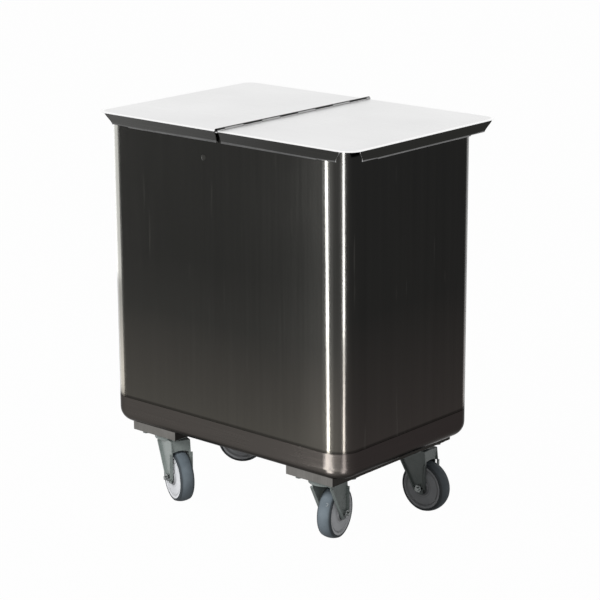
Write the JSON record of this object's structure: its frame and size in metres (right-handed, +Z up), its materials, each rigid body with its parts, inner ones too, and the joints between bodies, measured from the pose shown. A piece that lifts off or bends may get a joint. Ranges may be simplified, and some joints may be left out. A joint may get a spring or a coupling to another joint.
{
  "type": "rolling flour bin",
  "caption": "Upright steel flour bin with rounded corners on swivel casters, under a lay-on lid that folds in half along a hinge.",
  "frame": {"origin": "on the floor, under the middle of the lid", "axes": "+Z up, +X along the length towards the right when facing the front, and the front faces -Y"},
  "size_m": [0.64, 0.443, 0.7824],
  "materials": {
    "stainless_body": "brushed upright, dark",
    "stainless_lid": "satin, brushed along the lid",
    "stainless_hinge": "plain mill finish",
    "stainless_rail": "satin",
    "zinc_plated": "zinc plated, greenish",
    "bearing_steel": "ground",
    "grey_rubber": "matt grey, non-marking",
    "pale_plastic": "moulded, pale grey",
    "dark_plastic": "moulded, near black"
  },
  "bodies": {
    "bin": {"tub_wall": "stainless_body", "base_pan": "stainless_body", "rail_left": "stainless_rail", "rail_right": "stainless_rail", "plate_bolts": "zinc_plated", "weld_nuts": "zinc_plated", "king_pins": "zinc_plated", "front_left_top_plate": "zinc_plated", "front_left_ball_ring": "bearing_steel", "front_right_top_plate": "zinc_plated", "front_right_ball_ring": "bearing_steel", "rear_left_top_plate": "zinc_plated", "rear_left_ball_ring": "bearing_steel", "rear_right_top_plate": "zinc_plated", "rear_right_ball_ring": "bearing_steel"},
    "lid_hinge": {"hinge_pin": "stainless_hinge"},
    "lid_left": {"lid_left": "stainless_lid", "hinge_leaf_left": "stainless_hinge"},
    "lid_right": {"lid_right": "stainless_lid", "hinge_leaf_right": "stainless_hinge"},
    "front_left_caster": {"front_left_fork": "zinc_plated", "front_left_axle_bolt": "zinc_plated", "front_left_axle_nut": "zinc_plated", "front_left_axle_sleeve": "bearing_steel"},
    "front_left_wheel": {"front_left_wheel_bush": "dark_plastic", "front_left_wheel_rim": "pale_plastic", "front_left_tyre": "grey_rubber"},
    "front_right_caster": {"front_right_fork": "zinc_plated", "front_right_axle_bolt": "zinc_plated", "front_right_axle_nut": "zinc_plated", "front_right_axle_sleeve": "bearing_steel"},
    "front_right_wheel": {"front_right_wheel_bush": "dark_plastic", "front_right_wheel_rim": "pale_plastic", "front_right_tyre": "grey_rubber"},
    "rear_left_caster": {"rear_left_fork": "zinc_plated", "rear_left_axle_bolt": "zinc_plated", "rear_left_axle_nut": "zinc_plated", "rear_left_axle_sleeve": "bearing_steel"},
    "rear_left_wheel": {"rear_left_wheel_bush": "dark_plastic", "rear_left_wheel_rim": "pale_plastic", "rear_left_tyre": "grey_rubber"},
    "rear_right_caster": {"rear_right_fork": "zinc_plated", "rear_right_axle_bolt": "zinc_plated", "rear_right_axle_nut": "zinc_plated", "rear_right_axle_sleeve": "bearing_steel"},
    "rear_right_wheel": {"rear_right_wheel_bush": "dark_plastic", "rear_right_wheel_rim": "pale_plastic", "rear_right_tyre": "grey_rubber"}
  },
  "joints": [
    {"name": "lid_lift", "type": "slide", "parent": "bin", "child": "lid_hinge", "axis": [0, 0, 1], "range_m": [0, 0.06]},
    {"name": "lid_left_fold", "type": "hinge", "parent": "lid_hinge", "child": "lid_left", "pos_m": [0, 0, 0.7784], "axis": [0, -1, 0], "range_deg": [-180, 0]},
    {"name": "lid_right_fold", "type": "hinge", "parent": "lid_hinge", "child": "lid_right", "pos_m": [0, 0, 0.7784], "axis": [0, -1, 0], "range_deg": [0, 180]},
    {"name": "front_left_swivel", "type": "hinge", "parent": "bin", "child": "front_left_caster", "pos_m": [-0.21101, -0.13851, 0.138], "axis": [0, 0, 1], "continuous": true},
    {"name": "front_left_roll", "type": "hinge", "parent": "front_left_caster", "child": "front_left_wheel", "pos_m": [-0.17812, -0.15315, 0.051], "axis": [0.4067, 0.9135, 0], "continuous": true},
    {"name": "front_right_swivel", "type": "hinge", "parent": "bin", "child": "front_right_caster", "pos_m": [0.19299, -0.13851, 0.138], "axis": [0, 0, 1], "continuous": true},
    {"name": "front_right_roll", "type": "hinge", "parent": "front_right_caster", "child": "front_right_wheel", "pos_m": [0.18489, -0.10343, 0.051], "axis": [-0.9744, -0.225, 0], "continuous": true},
    {"name": "rear_left_swivel", "type": "hinge", "parent": "bin", "child": "rear_left_caster", "pos_m": [-0.21101, 0.12049, 0.138], "axis": [0, 0, 1], "continuous": true},
    {"name": "rear_left_roll", "type": "hinge", "parent": "rear_left_caster", "child": "rear_left_wheel", "pos_m": [-0.24086, 0.10036, 0.051], "axis": [0.5592, -0.829, 0], "continuous": true},
    {"name": "rear_right_swivel", "type": "hinge", "parent": "bin", "child": "rear_right_caster", "pos_m": [0.19299, 0.12049, 0.138], "axis": [0, 0, 1], "continuous": true},
    {"name": "rear_right_roll", "type": "hinge", "parent": "rear_right_caster", "child": "rear_right_wheel", "pos_m": [0.22898, 0.12112, 0.051], "axis": [-0.0175, 0.9998, 0], "continuous": true}
  ]
}
